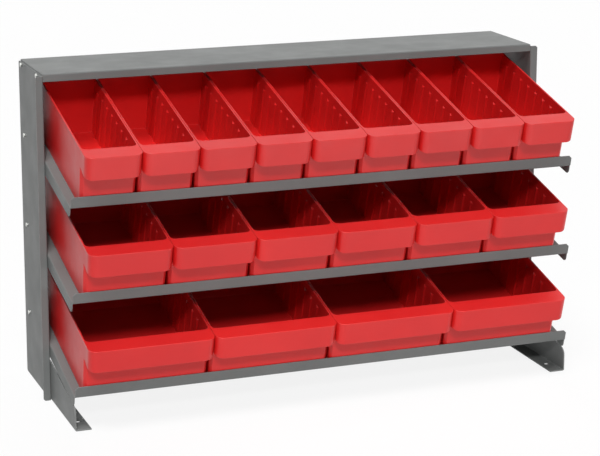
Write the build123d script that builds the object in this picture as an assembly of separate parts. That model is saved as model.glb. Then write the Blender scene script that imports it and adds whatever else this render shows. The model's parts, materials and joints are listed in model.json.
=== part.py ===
from build123d import *
import math
import os

# Bench rack with three sloping shelves and nineteen loose plastic drawers.
# Sizes are in millimetres. +X is the rack's right, +Y its back and +Z up.
# The origin is at floor level, in the middle of the rack's outline.

# Rack, overall. Its height follows from the shelves and the room above the top one.
rack_width = 915.0
panel_depth = 170.5
lowest_shelf = 98.0
shelf_pitch = 157.5
shelf_count = 3
top_room = 147.0

# Side panels: a flat web with a flange turned outward along its front edge
panel_sheet = 1.5
panel_flange = 11.5
panel_corner_chamfer = 3.0

# Top cover: a shallow lid, its four edges turned down, held between the panels
cover_sheet = 1.2
cover_proud = 3.5
cover_drop = 12.7
cover_front_setback = 2.0
cover_rear_setback = 8.5
cover_corner_slit = 2.5

# Shelves: floor, front lip turned up, side and rear flanges turned down
shelf_sheet = 1.2
shelf_slope = 14.0
shelf_reach = 166.5
shelf_rear_setback = 7.0
lip_height = 18.7
lip_end_gap = 0.5
lip_corner_chamfer = 4.5
side_drop = 22.0
side_drop_front = 18.0
side_front_radius = 8.0
rear_drop = 19.0
rear_corner_slit = 4.0

# Sheet metal bends: radius on the inside of the bend
bend_radius = 1.0

# Feet: an upright web against the panel's inner face and a flange on the floor
foot_sheet = 2.0
foot_flange = 27.5
foot_reach = 161.5
foot_rear_setback = 5.0
foot_front_gap = 0.4
foot_panel_gap = 6.4
foot_front_radius = 14.0
floor_hole = 9.0
floor_hole_end = 41.0
floor_hole_inset = 14.5

# Hexagon bolts and nuts. There are many, so shanks, holes and bores have eight flat sides.
round_sides = 8
hexagon_sides = 6
screw_size = 4.0
screw_clearance = 0.5
nut_clearance = 0.2
head_width = 7.0
head_height = 2.8
nut_width = 7.0
nut_height = 3.2
screw_tail = 1.5
shelf_screw_front = 20.0
shelf_screw_rear_gap = 26.3
shelf_screw_drop = 15.0
cover_screw_front_gap = 35.0
cover_screw_rear_gap = 14.0
cover_screw_drop = 8.0
foot_screw_depth = 22.0
foot_screw_heights = [22.0, 50.0]

# Drawers: rows from the top down, as name, count, pitch and gap to the left panel
drawer_rows = [
    ("small_drawer", 9, 95.25, 13.7),
    ("medium_drawer", 6, 141.3, 16.0),
    ("wide_drawer", 4, 212.7, 12.8),
]
drawer_length = 295.3
drawer_height = 100.0
drawer_wall = 2.6
drawer_floor = 2.4
drawer_gap = 0.6
drawer_lift = 0.3
drawer_front_gap = 0.8
side_draft = 2.4
front_draft = 0.8
rear_draft = 2.0
body_corner_chamfer = 5.0
cavity_corner_radius = 9.0

# Drawer collar: the hollow ledge across the front that serves as the grip
collar_depth = 30.3
collar_height = 39.5
collar_side_height = 31.5
collar_corner_radius = 14.0
collar_hollow_chamfer = 7.0
collar_top = 2.6
collar_overlap = 16.0

# Divider ribs inside the drawers' side walls
rib_pitch = 29.7
rib_rear_gap = 24.7
rib_front_gap = 50.0
rib_width = 9.5
rib_proud = 2.4
rib_top_gap = 14.5
rib_root = 1.0

# Worked out from the sizes above
cover_top = lowest_shelf + (shelf_count - 1) * shelf_pitch + top_room
panel_height = cover_top - cover_proud
screw_hole = screw_size + screw_clearance
nut_bore = screw_size + nut_clearance
web_outer = rack_width / 2 - panel_flange
web_inner = web_outer - panel_sheet
slope = math.radians(shelf_slope)
body_front = shelf_reach - shelf_sheet - drawer_front_gap
collar_front = body_front + front_draft + collar_depth
body_rear = drawer_length - collar_front - rear_draft
collar_out = collar_front * math.cos(slope) + (drawer_height + drawer_lift) * math.sin(slope)
panel_front = (collar_out - panel_depth) / 2
panel_rear = panel_front + panel_depth
drill_reach = 4 * (bend_radius + foot_sheet)
shelf_rear = (panel_depth - shelf_rear_setback - rear_drop * math.sin(slope)) / math.cos(slope)
cavity_length = body_front + front_draft + body_rear + rear_draft - 2 * drawer_wall
rib_count = 1 + int((cavity_length - rib_rear_gap - rib_front_gap) / rib_pitch)


def shelf_height(level):
    """Height of a shelf's floor at the panels' front faces; level 0 is the top shelf."""
    return lowest_shelf + (shelf_count - 1 - level) * shelf_pitch


def on_shelf(level, shape):
    """Place a shape drawn on a level shelf, with Y = 0 at the panels' front faces."""
    return Pos(0, panel_front, shelf_height(level)) * Rot(X=shelf_slope) * shape


def shelf_point(level, y, z):
    """Where a point drawn on a level shelf lies in the rack, as Y and Z."""
    return (
        panel_front + y * math.cos(slope) - z * math.sin(slope),
        shelf_height(level) + y * math.sin(slope) + z * math.cos(slope),
    )


def folded_angle(start, corner, end, sheet):
    """Section of a sheet folded once, its outer face along points that turn right."""
    outer = FilletPolyline(start, corner, end, radius=bend_radius + sheet)
    return make_face(offset(outer, amount=sheet, side=Side.RIGHT, closed=True))


def across(section, half_width):
    """Solid from a section drawn as Y and Z, reaching half_width to either side."""
    return extrude(Plane.YZ * section, amount=half_width, both=True)


def along(section, front, rear):
    """Solid from a section drawn as X and Z, from the front to the rear."""
    return Pos(0, rear, 0) * extrude(Plane.XZ * section, amount=rear - front)


def bar_across(x, y, z, width, sides, length):
    """Flat-sided bar along X with its middle at x; width is measured across its flats."""
    section = Plane.YZ * RegularPolygon(width / 2, sides, major_radius=False)
    return Pos(x, y, z) * extrude(section, amount=length / 2, both=True)


def mirrored(shape):
    """The same shape on the other side of the rack."""
    return mirror(shape, about=Plane.YZ)


def shelf_screw_places(level):
    """Y and Z of the two screws that hold one end of a shelf."""
    return [
        shelf_point(level, shelf_screw_front, -shelf_screw_drop),
        shelf_point(level, shelf_rear - shelf_screw_rear_gap, -shelf_screw_drop),
    ]


def cover_screw_places():
    """Y and Z of the two screws that hold one end of the cover."""
    height = cover_top - cover_screw_drop
    front = panel_front + cover_front_setback + cover_screw_front_gap
    rear = panel_rear - cover_rear_setback - cover_screw_rear_gap
    return [(front, height), (rear, height)]


def foot_screw_places():
    """Y and Z of the two screws that hold one foot."""
    return [(panel_front + foot_screw_depth, height) for height in foot_screw_heights]


def drill(shape, places, width):
    """Make holes along X through the right side of a shape."""
    for y, z in places:
        shape -= bar_across(web_inner, y, z, width, round_sides, drill_reach)
    return shape


def right_panel():
    """Side panel folded from one sheet: web, and a flange turned outward at the front."""
    section = folded_angle(
        (rack_width / 2, panel_front),
        (web_inner, panel_front),
        (web_inner, panel_rear),
        panel_sheet,
    )
    panel = extrude(section, amount=panel_height)
    flange_ends = panel.edges().filter_by(Axis.Y).group_by(Axis.X)[-1]
    panel = chamfer(flange_ends, panel_corner_chamfer)
    web_ends = panel.edges().filter_by(Axis.X).group_by(Axis.Y)[-1]
    panel = chamfer(web_ends, panel_corner_chamfer)
    places = cover_screw_places() + foot_screw_places()
    for level in range(shelf_count):
        places += shelf_screw_places(level)
    return drill(panel, places, screw_hole)


def top_cover():
    """Shallow lid with its four edges turned down; slits part the side edges from the other two."""
    front = panel_front + cover_front_setback
    rear = panel_rear - cover_rear_setback
    depth = rear - front
    middle = Pos(0, (front + rear) / 2, cover_top - cover_drop / 2)
    lid = middle * Box(2 * web_inner, depth, cover_drop)
    lid = fillet(lid.faces().sort_by(Axis.Z)[-1].edges(), bend_radius + cover_sheet)
    hollow = middle * Pos(0, 0, -cover_sheet) * Box(
        2 * (web_inner - cover_sheet), depth - 2 * cover_sheet, cover_drop
    )
    hollow = fillet(hollow.faces().sort_by(Axis.Z)[-1].edges(), bend_radius)
    lid -= hollow
    slit = Box(2 * (bend_radius + cover_sheet), cover_corner_slit, cover_drop)
    inset = cover_sheet + cover_corner_slit / 2
    height = cover_top - cover_drop / 2 - cover_sheet - bend_radius
    for side in (-1, 1):
        for y in (front + inset, rear - inset):
            lid -= Pos(side * web_inner, y, height) * slit
    lid = drill(lid, cover_screw_places(), screw_hole)
    return mirrored(drill(mirrored(lid), cover_screw_places(), screw_hole))


def shelf():
    """Shelf drawn level: floor, lip up at the front, flanges down at the sides and rear."""
    bend = bend_radius + shelf_sheet
    half = folded_angle((0, 0), (web_inner, 0), (web_inner, -side_drop), shelf_sheet)
    floor = along(half, bend - shelf_reach, shelf_rear - bend)
    floor += mirrored(floor)
    outline = Polygon(
        (bend - shelf_reach, 0),
        (bend - shelf_reach, -side_drop_front),
        (0, -side_drop),
        (shelf_rear - bend, -side_drop),
        (shelf_rear - bend, 0),
        align=None,
    )
    low_front = outline.vertices().group_by(Axis.X)[0].sort_by(Axis.Y)[0]
    floor &= across(fillet(low_front, side_front_radius), web_inner)
    lip = across(
        folded_angle(
            (2 * bend - shelf_reach, -shelf_sheet),
            (-shelf_reach, -shelf_sheet),
            (-shelf_reach, lip_height),
            shelf_sheet,
        ),
        web_inner - lip_end_gap,
    )
    lip = chamfer(lip.edges().filter_by(Axis.Y).group_by(Axis.Z)[-1], lip_corner_chamfer)
    rear = across(
        folded_angle(
            (shelf_rear - 2 * bend, 0),
            (shelf_rear, 0),
            (shelf_rear, -rear_drop),
            shelf_sheet,
        ),
        web_inner - rear_corner_slit,
    )
    return floor + lip + rear


def placed_shelf(level):
    """One shelf in its place, with the screw holes at both ends."""
    placed = drill(on_shelf(level, shelf()), shelf_screw_places(level), screw_hole)
    return mirrored(drill(mirrored(placed), shelf_screw_places(level), screw_hole))


def side_flange_height(y):
    """Height of the lower edge of the bottom shelf's side flanges at a Y in front of the panels."""
    front_y, front_z = shelf_point(shelf_count - 1, bend_radius + shelf_sheet - shelf_reach, -side_drop_front)
    rear_y, rear_z = shelf_point(shelf_count - 1, 0, -side_drop)
    return front_z + (rear_z - front_z) * (y - front_y) / (rear_y - front_y)


def right_foot():
    """Foot folded from one sheet: upright web with a sloping top, flange on the floor."""
    front = panel_front - foot_reach
    rear = panel_rear - foot_rear_setback
    foot_front_height = side_flange_height(front) - foot_front_gap
    foot_panel_height = side_flange_height(panel_front) - foot_panel_gap
    section = folded_angle(
        (web_inner, foot_panel_height),
        (web_inner, 0),
        (web_inner - foot_flange, 0),
        foot_sheet,
    )
    outline = Polygon(
        (front, 0),
        (front, foot_front_height),
        (panel_front, foot_panel_height),
        (rear, foot_panel_height),
        (rear, 0),
        align=None,
    )
    corner = outline.vertices().group_by(Axis.Y)[1]
    outline = fillet(corner, foot_front_radius)
    foot = along(section, front, rear) & across(outline, rack_width / 2)
    for y in (front + floor_hole_end, rear - floor_hole_end):
        foot -= Pos(web_inner - floor_hole_inset, y, 0) * Cylinder(floor_hole / 2, 4 * foot_sheet)
    return drill(foot, foot_screw_places(), screw_hole)


def tapered_box(low, high, outline):
    """Box with drafted walls; outline gives its half width, front and rear at a height."""
    half, front, rear = outline(low)
    top_half, top_front, top_rear = outline(high)
    box = Wedge(
        2 * half,
        high - low,
        rear - front,
        half - top_half,
        rear - top_rear,
        half + top_half,
        rear - top_front,
        align=None,
    )
    return Pos(-half, rear, low) * Rot(X=90) * box


def front_corners(box):
    """The two upright edges at the front of a drafted box."""
    return box.edges().group_by(Axis.Z)[1].sort_by(Axis.Y)[:2]


def body_outline(width, inset):
    """Half width, front and rear of a drawer's body by height, moved inward by inset."""
    def outline(z):
        share = z / drawer_height
        return (
            width / 2 - side_draft * (1 - share) - inset,
            -body_front - front_draft * share + inset,
            body_rear + rear_draft * share - inset,
        )
    return outline


def collar_outline(width, inset):
    """Half width, front and rear of a drawer's collar by height; its sides line up with the body's."""
    def outline(z):
        half = body_outline(width, inset)(z)[0]
        return (half, -collar_front + inset, collar_overlap - body_front)
    return outline


def divider_rib():
    """One V-shaped rib, drawn upright, growing along -X and pointed at its upper end."""
    bottom = drawer_floor / 2
    top = drawer_height - rib_top_gap
    root = rib_width / 2 * (1 + rib_root / rib_proud)
    section = Polygon((rib_root, -root), (rib_root, root), (-rib_proud, 0), align=None)
    rib = Pos(0, 0, bottom) * extrude(section, amount=top - bottom)
    point = Polygon((0, top), (-rib_proud, top - rib_proud), (-rib_proud, top), align=None)
    return rib - extrude(Plane.XZ * point, amount=rib_width, both=True)


def drawer(width):
    """Moulded drawer drawn level: drafted box, hollow front collar and divider ribs."""
    body = tapered_box(0, drawer_height, body_outline(width, 0))
    body = chamfer(front_corners(body), body_corner_chamfer)
    skirt = drawer_height - collar_height
    side_skirt = drawer_height - collar_side_height
    collar = tapered_box(skirt, drawer_height, collar_outline(width, 0))
    collar = fillet(front_corners(collar), collar_corner_radius)
    hollow = tapered_box(skirt, drawer_height - collar_top, collar_outline(width, drawer_wall))
    collar -= chamfer(front_corners(hollow), collar_hollow_chamfer)
    under = Polygon(
        (-collar_front, skirt),
        (-body_front, side_skirt),
        (collar_overlap - body_front, side_skirt),
        (collar_overlap - body_front, skirt),
        align=None,
    )
    shape = body + (collar - across(under, width))
    cavity = tapered_box(drawer_floor, drawer_height, body_outline(width, drawer_wall))
    shape -= fillet(front_corners(cavity), cavity_corner_radius)
    lean = math.degrees(math.atan(side_draft / drawer_height))
    foot = width / 2 - side_draft - drawer_wall
    for place in range(rib_count):
        y = body_rear + rear_draft - drawer_wall - rib_rear_gap - place * rib_pitch
        rib = Pos(foot, y, 0) * Rot(Y=lean) * divider_rib()
        shape += rib
        shape += mirrored(rib)
    return shape


def screw(y, z):
    """Bolt on the right side, head on the panel's outer face, tip inward along -X."""
    reach = panel_sheet + foot_sheet + nut_height + screw_tail
    head = bar_across(web_outer + head_height / 2, y, z, head_width, hexagon_sides, head_height)
    return head + bar_across(web_outer - reach / 2, y, z, screw_size, round_sides, reach)


def nut(y, z, seat):
    """Hexagon nut on the right side, its outer end on a sheet whose inner face is at seat."""
    middle = seat - nut_height / 2
    body = bar_across(middle, y, z, nut_width, hexagon_sides, nut_height)
    return body - bar_across(middle, y, z, nut_bore, round_sides, nut_height)


def both_sides(shapes):
    """A group of loose pieces: those on the right and the same ones on the left."""
    group = []
    for shape in shapes:
        group += shape.solids()
        group += mirrored(shape).solids()
    return Compound(group)


def drawer_places():
    """Every drawer as its name, its shelf, its width and the X of its middle."""
    places = []
    for level, (name, count, pitch, left_gap) in enumerate(drawer_rows):
        left = -web_inner + left_gap
        for place in range(count):
            middle = left + (place + 0.5) * pitch
            places.append(("%s_%d" % (name, place + 1), level, pitch - drawer_gap, middle))
    return places


def fastener_groups():
    """Screws and nuts, one group for each kind of joint they make."""
    shelf_places = []
    for level in range(shelf_count):
        shelf_places += shelf_screw_places(level)
    groups = {}
    for name, places, sheet in (
        ("cover", cover_screw_places(), cover_sheet),
        ("shelf", shelf_places, shelf_sheet),
        ("foot", foot_screw_places(), foot_sheet),
    ):
        groups[name + "_bolts"] = both_sides([screw(y, z) for y, z in places])
        groups[name + "_nuts"] = both_sides([nut(y, z, web_inner - sheet) for y, z in places])
    return groups


def build():
    """Every piece of the rack in its place, by name."""
    pieces = {}
    panel = right_panel()
    pieces["right_side_panel"] = panel
    pieces["left_side_panel"] = mirrored(panel)
    pieces["top_cover"] = top_cover()
    for level, name in enumerate(("top_shelf", "middle_shelf", "bottom_shelf")):
        pieces[name] = placed_shelf(level)
    foot = right_foot()
    pieces["right_foot"] = foot
    pieces["left_foot"] = mirrored(foot)
    shapes = {}
    for name, level, width, middle in drawer_places():
        if level not in shapes:
            shapes[level] = drawer(width)
        pieces[name] = on_shelf(level, Pos(middle, 0, drawer_lift) * shapes[level])
    pieces.update(fastener_groups())
    return pieces


os.makedirs("parts", exist_ok=True)
for piece_name, piece in build().items():
    export_step(piece, "parts/" + piece_name + ".step")
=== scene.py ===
import json
import math
import bmesh
import bpy
from mathutils import Matrix, Vector

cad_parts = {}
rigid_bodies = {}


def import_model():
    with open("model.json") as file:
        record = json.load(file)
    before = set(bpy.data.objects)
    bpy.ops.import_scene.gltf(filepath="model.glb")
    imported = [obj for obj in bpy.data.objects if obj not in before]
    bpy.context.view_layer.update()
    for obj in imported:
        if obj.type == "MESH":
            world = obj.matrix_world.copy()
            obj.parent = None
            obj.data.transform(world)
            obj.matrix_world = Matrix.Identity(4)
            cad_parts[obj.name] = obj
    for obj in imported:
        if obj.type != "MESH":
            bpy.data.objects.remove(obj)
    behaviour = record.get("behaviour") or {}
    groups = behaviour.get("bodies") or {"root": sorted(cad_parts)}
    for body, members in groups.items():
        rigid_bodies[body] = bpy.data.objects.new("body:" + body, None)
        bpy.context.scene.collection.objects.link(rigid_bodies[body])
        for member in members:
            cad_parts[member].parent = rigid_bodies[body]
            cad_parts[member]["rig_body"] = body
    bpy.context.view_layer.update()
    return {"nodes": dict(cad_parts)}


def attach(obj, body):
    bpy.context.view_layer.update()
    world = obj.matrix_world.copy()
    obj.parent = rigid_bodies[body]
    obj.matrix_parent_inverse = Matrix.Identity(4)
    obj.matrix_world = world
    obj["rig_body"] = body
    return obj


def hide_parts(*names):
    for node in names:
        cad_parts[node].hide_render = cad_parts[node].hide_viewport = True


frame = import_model()

# The camera, fitted to the photograph: a long lens with a small shift
PICTURE_WIDTH = 600
FOCAL_LENGTH_PX = 2019.7
SENSOR_WIDTH = 36.0
FARTHEST_SEEN = 50.0
CAMERA_PLACE = Vector((-1.1968, -3.1648, 1.1523))
CAMERA_RIGHT = Vector((0.93587, -0.35234, 0.00199))
CAMERA_UP = Vector((0.07521, 0.20528, 0.97581))
CAMERA_SHIFT = (0.0, -0.12)

# Distant lights: degrees to the right of the rack's front, degrees above the floor, strength and
# softness in degrees
SUNS = {
    "overhead": (-32, 66, 1.9, 24),
    "front": (-18, 33, 1.25, 8),
    "right": (104, 6, 1.5, 14),
    "behind": (172, 5, 1.5, 14),
}

# Lights further round than this many degrees leave no highlights
HIGHLIGHTS_WITHIN = 90

# The low light in front of the rack: watts, metres across and high, place of its middle
LOW_POWER = 2.2
LOW_SIZE = (1.8, 0.05)
LOW_PLACE = Vector((-0.1, -0.9, 0.03))
AWAY_FROM_RACK = Vector((0.0, -1.0, 0.0))

# Strength of the even light from all round
AROUND = 0.07

# The floor: metres to each side, grey and roughness as the rack's surroundings, share of plain
# white in what the camera sees of it
FLOOR_REACH = 12.0
FLOOR_GREY = 0.4
FLOOR_ROUGHNESS = 0.9
WHITE_SHARE = 0.86

# A ray whose count of matt surfaces met is below this has met none
FIRST_SCATTER = 0.5

# Rounded edges on the visible pieces, in metres. A sheet's cut edges get a share of its folds'
# width.
SHEET_FOLD = 0.0008
SHEET_CUT_SHARE = 0.4
MOULDED_EDGE = 0.0007
SCREW_EDGE = 0.0003

# Steps in a rounded edge
EDGE_STEPS = 3
SCREW_STEPS = 2

# Faces that meet flatter than the first are one face; edges sharper than the second are rounded
FLAT_ANGLE = math.radians(0.6)
SHARP_ANGLE = math.radians(32)

# A fold of the sheet lies between faces wider than the first and is longer than the second
FOLD_FACE_WIDTH = 0.003
FOLD_LENGTH = 0.006

# Corners of the CAD meshes closer than this, in metres, are one
SAME_POINT = 1e-6

# Samples for finding a piece's edges in its material
EDGE_SAMPLES = 6

# The Mix node's sockets for two colours and its colour output, by their numbers
MIX_COLOURS = (6, 7)
MIX_RESULT = 2

WHITE = (1.0, 1.0, 1.0, 1.0)

# Ranges: the whole of it, and the middle and wider middle that noise mostly keeps to
FULL = (0.0, 1.0)
MIDDLE = (0.35, 0.65)
WIDE_MIDDLE = (0.3, 0.7)

# Groups of nodes by what they are made of
STEEL = [
    "left_side_panel",
    "right_side_panel",
    "top_cover",
    "top_shelf",
    "middle_shelf",
    "bottom_shelf",
    "left_foot",
    "right_foot",
]
FASTENERS = ["cover_bolts", "cover_nuts", "shelf_bolts", "shelf_nuts", "foot_bolts", "foot_nuts"]
DRAWERS = [name for name in frame["nodes"] if "_drawer_" in name]


def srgb(text):
    """A colour written as six hex digits, in Blender's linear values."""
    values = []
    for start in (0, 2, 4):
        share = int(text[start:start + 2], 16) / 255
        values.append(share / 12.92 if share <= 0.04045 else ((share + 0.055) / 1.055) ** 2.4)
    return (*values, 1.0)


def linked(name, data):
    """A new object in the scene."""
    thing = bpy.data.objects.new(name, data)
    bpy.context.scene.collection.objects.link(thing)
    return thing


def feed(tree, socket, value):
    """Give a node's socket a number, a colour or another node's output."""
    if isinstance(value, (float, tuple)):
        socket.default_value = value
    else:
        tree.links.new(value, socket)


def calculate(tree, operation, first, second):
    """The result of an operation on two values. Each is a number or an output."""
    node = tree.nodes.new("ShaderNodeMath")
    node.operation = operation
    for socket, value in zip(node.inputs, (first, second)):
        feed(tree, socket, value)
    return node.outputs["Value"]


def mix_shaders(tree, share, first, second):
    """Two shaders mixed by a share, which is a number or an output."""
    node = tree.nodes.new("ShaderNodeMixShader")
    for socket, value in zip(node.inputs, (share, first, second)):
        feed(tree, socket, value)
    return node.outputs["Shader"]


class Shader:
    """A material's node tree, with short calls to add and join nodes."""

    def __init__(self, name):
        self.material = bpy.data.materials.new(name)
        self.material.use_nodes = True
        self.tree = self.material.node_tree
        self.surface = self.tree.nodes["Principled BSDF"]
        self.place = self.add("ShaderNodeTexCoord").outputs["Object"]

    def add(self, kind, **settings):
        node = self.tree.nodes.new(kind)
        for key, value in settings.items():
            setattr(node, key, value)
        return node

    def join(self, source, target):
        self.tree.links.new(source, target)

    def noise(self, scale, detail, roughness=0.5):
        """Noise over the piece. scale is in features per metre."""
        noise = self.add("ShaderNodeTexNoise")
        noise.inputs["Scale"].default_value = scale
        noise.inputs["Detail"].default_value = detail
        noise.inputs["Roughness"].default_value = roughness
        self.join(self.place, noise.inputs["Vector"])
        return noise.outputs["Fac"]

    def remap(self, value, source, target):
        """A value taken from the source range to the target range."""
        node = self.add("ShaderNodeMapRange")
        node.inputs["From Min"].default_value, node.inputs["From Max"].default_value = source
        node.inputs["To Min"].default_value, node.inputs["To Max"].default_value = target
        self.join(value, node.inputs["Value"])
        return node.outputs["Result"]

    def mix(self, share, first, second):
        """Two colours mixed by a share. Each is a colour or an output."""
        node = self.add("ShaderNodeMix", data_type="RGBA")
        self.join(share, node.inputs["Factor"])
        for number, colour in zip(MIX_COLOURS, (first, second)):
            feed(self.tree, node.inputs[number], colour)
        return node.outputs[MIX_RESULT]

    def edges(self, radius, bend):
        """1 on the piece's edges and 0 away from them. bend is the range from flat to full."""
        bevel = self.add("ShaderNodeBevel", samples=EDGE_SAMPLES)
        bevel.inputs["Radius"].default_value = radius
        geometry = self.add("ShaderNodeNewGeometry")
        dot = self.add("ShaderNodeVectorMath", operation="DOT_PRODUCT")
        for source, target in zip((bevel, geometry), dot.inputs):
            self.join(source.outputs["Normal"], target)
        away = calculate(self.tree, "SUBTRACT", 1.0, dot.outputs["Value"])
        return self.remap(away, bend, FULL)

    def bump(self, height, distance, strength):
        node = self.add("ShaderNodeBump")
        node.inputs["Strength"].default_value = strength
        node.inputs["Distance"].default_value = distance
        self.join(height, node.inputs["Height"])
        self.join(node.outputs["Normal"], self.surface.inputs["Normal"])

    def colour(self, output):
        self.join(output, self.surface.inputs["Base Color"])

    def rough(self, output):
        self.join(output, self.surface.inputs["Roughness"])


def grey_enamel():
    """Satin grey paint on steel: slightly uneven tone, orange peel, edges painted lighter (partly
    rubbed wear, partly a painted highlight on the folds).
    """
    shader = Shader("grey_enamel")
    tone = shader.noise(scale=7.0, detail=4.0)
    base = shader.mix(shader.remap(tone, MIDDLE, FULL), srgb("727473"), srgb("7a7c7b"))
    specks = shader.noise(scale=420.0, detail=2.0)
    dust = shader.remap(specks, source=(0.62, 0.75), target=(0.0, 0.25))
    base = shader.mix(dust, base, srgb("8e8f8d"))
    scuffs = shader.noise(scale=55.0, detail=6.0, roughness=0.7)
    rubbed = shader.remap(scuffs, source=(0.4, 0.6), target=(0.35, 0.9))
    edges = shader.edges(radius=0.0013, bend=(0.01, 0.15))
    # Edges painted lighter: partly rubbed wear, partly a painted highlight along the folds
    wear_and_highlight = calculate(shader.tree, "MULTIPLY", edges, rubbed)
    shader.colour(shader.mix(wear_and_highlight, base, srgb("a2a4a3")))
    sheen = shader.noise(scale=24.0, detail=5.0)
    shader.rough(shader.remap(sheen, source=WIDE_MIDDLE, target=(0.44, 0.56)))
    peel = shader.noise(scale=1500.0, detail=1.0)
    shader.bump(peel, distance=0.00004, strength=0.5)
    shader.surface.inputs["Specular IOR Level"].default_value = 0.3
    return shader.material


def red_plastic():
    """Injection-moulded plastic: deep red, satin, with a fine mould grain and paler edges (partly
    wear, partly a painted highlight on rims and rib ridges).
    """
    shader = Shader("red_plastic")
    tone = shader.noise(scale=9.0, detail=3.0)
    base = shader.mix(shader.remap(tone, MIDDLE, FULL), srgb("dc1f20"), srgb("e62524"))
    info = shader.add("ShaderNodeObjectInfo")
    batch = shader.remap(info.outputs["Random"], source=FULL, target=(0.0, 0.22))
    base = shader.mix(batch, base, srgb("d21b1c"))
    scuffs = shader.noise(scale=80.0, detail=6.0, roughness=0.7)
    rubbed = shader.remap(scuffs, source=(0.4, 0.65), target=(0.35, 0.75))
    edges = shader.edges(radius=0.0014, bend=(0.01, 0.09))
    # Edges painted paler: partly wear, partly a painted highlight on the rims and rib ridges
    wear_and_highlight = calculate(shader.tree, "MULTIPLY", edges, rubbed)
    shader.colour(shader.mix(wear_and_highlight, base, srgb("ee5a55")))
    sheen = shader.noise(scale=30.0, detail=5.0)
    shader.rough(shader.remap(sheen, source=WIDE_MIDDLE, target=(0.34, 0.44)))
    grain = shader.noise(scale=2600.0, detail=2.0)
    shader.bump(grain, distance=0.00003, strength=0.6)
    shader.surface.inputs["Specular IOR Level"].default_value = 0.58
    return shader.material


def zinc_plate():
    """Bright zinc on screws and nuts, slightly mottled, with edges painted paler as a painted
    highlight.
    """
    shader = Shader("zinc_plate")
    spangle = shader.noise(scale=600.0, detail=3.0)
    base = shader.mix(shader.remap(spangle, MIDDLE, FULL), srgb("b9bbb8"), srgb("d8d9d4"))
    # Edges painted paler: a painted highlight
    edges = shader.edges(radius=0.0004, bend=(0.02, 0.3))
    shader.colour(shader.mix(edges, base, srgb("e6e6e2")))
    sheen = shader.noise(scale=900.0, detail=3.0)
    shader.rough(shader.remap(sheen, source=WIDE_MIDDLE, target=(0.28, 0.42)))
    grain = shader.noise(scale=2200.0, detail=2.0)
    shader.bump(grain, distance=0.00002, strength=0.5)
    shader.surface.inputs["Metallic"].default_value = 1.0
    return shader.material


def weigh_folds(shape):
    """Full rounding for a sheet's folds, a share of it for its cut edges."""
    weight = shape.edges.layers.float.new("bevel_weight_edge")
    for edge in shape.edges:
        if len(edge.link_faces) != 2 or edge.calc_face_angle() < SHARP_ANGLE:
            continue
        length = edge.calc_length()
        narrowest = min(face.calc_area() for face in edge.link_faces) / length
        fold = narrowest > FOLD_FACE_WIDTH and length > FOLD_LENGTH
        edge[weight] = 1.0 if fold else SHEET_CUT_SHARE


def rounded_piece(node, width, steps, material):
    """A copy of a CAD node with its sharp edges rounded, shown in the node's place."""
    source = frame["nodes"][node]
    mesh = bpy.data.meshes.new(node + "_rounded")
    shape = bmesh.new()
    shape.from_mesh(source.data)
    bmesh.ops.remove_doubles(shape, verts=shape.verts, dist=SAME_POINT)
    bmesh.ops.dissolve_limit(
        shape, angle_limit=FLAT_ANGLE, verts=shape.verts, edges=shape.edges
    )
    for face in shape.faces:
        face.smooth = True
    if node in STEEL:
        weigh_folds(shape)
    shape.to_mesh(mesh)
    shape.free()
    piece = linked("rounded_" + node, mesh)
    mesh.materials.append(material)
    bevel = piece.modifiers.new("rounded_edges", "BEVEL")
    bevel.width = width
    bevel.segments = steps
    bevel.limit_method = "WEIGHT" if node in STEEL else "ANGLE"
    bevel.angle_limit = SHARP_ANGLE
    bevel.use_clamp_overlap = True
    bevel.harden_normals = True
    weighted = piece.modifiers.new("face_normals", "WEIGHTED_NORMAL")
    weighted.keep_sharp = True
    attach(piece, source["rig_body"])
    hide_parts(node)


def camera():
    """The camera in the photograph's place."""
    data = bpy.data.cameras.new("camera")
    data.sensor_fit = "HORIZONTAL"
    data.sensor_width = SENSOR_WIDTH
    data.lens = FOCAL_LENGTH_PX / PICTURE_WIDTH * SENSOR_WIDTH
    data.shift_x, data.shift_y = CAMERA_SHIFT
    data.clip_end = FARTHEST_SEEN
    right = CAMERA_RIGHT.normalized()
    back = right.cross(CAMERA_UP).normalized()
    up = back.cross(right)
    turn = Matrix((right, up, back)).transposed().to_4x4()
    viewer = linked("camera", data)
    viewer.matrix_world = Matrix.Translation(CAMERA_PLACE) @ turn
    bpy.context.scene.camera = viewer


def sun(name, right, up, strength, softness):
    """Distant soft light; right is counted from the rack's front."""
    data = bpy.data.lights.new(name, "SUN")
    data.energy = strength
    data.angle = math.radians(softness)
    lamp = linked(name, data)
    lamp.visible_glossy = abs(right) < HIGHLIGHTS_WITHIN
    level = math.cos(math.radians(up))
    source = Vector((
        math.sin(math.radians(right)) * level,
        -math.cos(math.radians(right)) * level,
        math.sin(math.radians(up)),
    ))
    lamp.rotation_euler = source.to_track_quat("Z", "Y").to_euler()


def low_light():
    """Wide light close to the floor, facing the rack's front from below the drawers' rims."""
    data = bpy.data.lights.new("low", "AREA")
    data.shape = "RECTANGLE"
    data.size, data.size_y = LOW_SIZE
    data.energy = LOW_POWER
    lamp = linked("low", data)
    lamp.location = LOW_PLACE
    lamp.rotation_euler = AWAY_FROM_RACK.to_track_quat("Z", "Y").to_euler()


def when_seen(tree, lit, seen):
    """The shader seen in place of the one that lights the rack.

    Camera, mirror and glass rays see it. Those that a matt surface has scattered on the way don't,
    because they would light the rack.
    """
    path = tree.nodes.new("ShaderNodeLightPath")
    rays = path.outputs["Is Camera Ray"]
    for kind in ("Is Glossy Ray", "Is Transmission Ray"):
        rays = calculate(tree, "MAXIMUM", rays, path.outputs[kind])
    unscattered = calculate(tree, "LESS_THAN", path.outputs["Diffuse Depth"], FIRST_SCATTER)
    return mix_shaders(tree, calculate(tree, "MULTIPLY", rays, unscattered), lit, seen)


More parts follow.
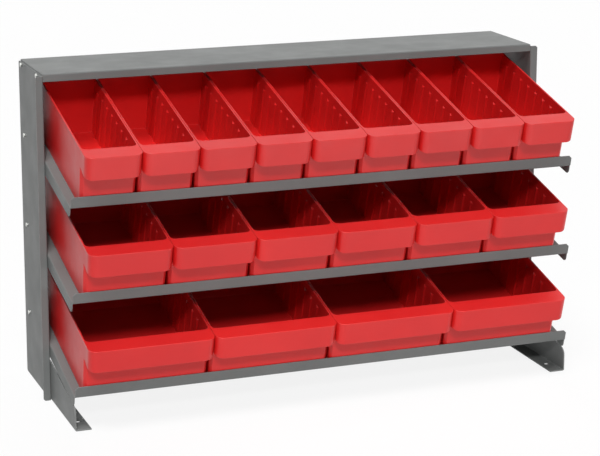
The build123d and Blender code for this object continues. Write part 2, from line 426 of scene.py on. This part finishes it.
def studio_floor():
    """Floor that lights the rack as grey, is seen as white and takes the rack's shadow."""
    mesh = bpy.data.meshes.new("studio_floor")
    sides = [(-1, -1), (1, -1), (1, 1), (-1, 1)]
    corners = [(x * FLOOR_REACH, y * FLOOR_REACH, 0) for x, y in sides]
    mesh.from_pydata(corners, [], [(0, 1, 2, 3)])
    floor = linked("studio_floor", mesh)
    material = bpy.data.materials.new("studio_floor")
    material.use_nodes = True
    tree = material.node_tree
    surface = tree.nodes["Principled BSDF"]
    surface.inputs["Base Color"].default_value = (FLOOR_GREY, FLOOR_GREY, FLOOR_GREY, 1.0)
    surface.inputs["Roughness"].default_value = FLOOR_ROUGHNESS
    white = tree.nodes.new("ShaderNodeEmission")
    shaded = tree.nodes.new("ShaderNodeBsdfDiffuse")
    shaded.inputs["Color"].default_value = WHITE
    seen = mix_shaders(tree, WHITE_SHARE, shaded.outputs["BSDF"], white.outputs["Emission"])
    output = tree.nodes["Material Output"]
    mixed = when_seen(tree, surface.outputs["BSDF"], seen)
    tree.links.new(mixed, output.inputs["Surface"])
    mesh.materials.append(material)


def studio_world():
    """Soft even light from all round, seen by the camera as white."""
    world = bpy.data.worlds.new("studio")
    bpy.context.scene.world = world
    world.use_nodes = True
    tree = world.node_tree
    lit = tree.nodes["Background"]
    lit.inputs["Color"].default_value = WHITE
    lit.inputs["Strength"].default_value = AROUND
    white = tree.nodes.new("ShaderNodeBackground")
    white.inputs["Color"].default_value = WHITE
    output = tree.nodes["World Output"]
    mixed = when_seen(tree, lit.outputs["Background"], white.outputs["Background"])
    tree.links.new(mixed, output.inputs["Surface"])


def studio():
    """Floor, surroundings and lights."""
    studio_floor()
    studio_world()
    for name, values in SUNS.items():
        sun(name, *values)
    low_light()
    bpy.context.scene.view_settings.view_transform = "Standard"


# Each group's material, edge width, steps in the rounding and slot
GROUPS = [
    (STEEL, grey_enamel(), SHEET_FOLD, EDGE_STEPS, "grey_paint"),
    (DRAWERS, red_plastic(), MOULDED_EDGE, EDGE_STEPS, "red_plastic"),
    (FASTENERS, zinc_plate(), SCREW_EDGE, SCREW_STEPS, "zinc_plate"),
]
for names, material, width, steps, slot in GROUPS:
    for name in names:
        rounded_piece(name, width, steps, material)
camera()
studio()
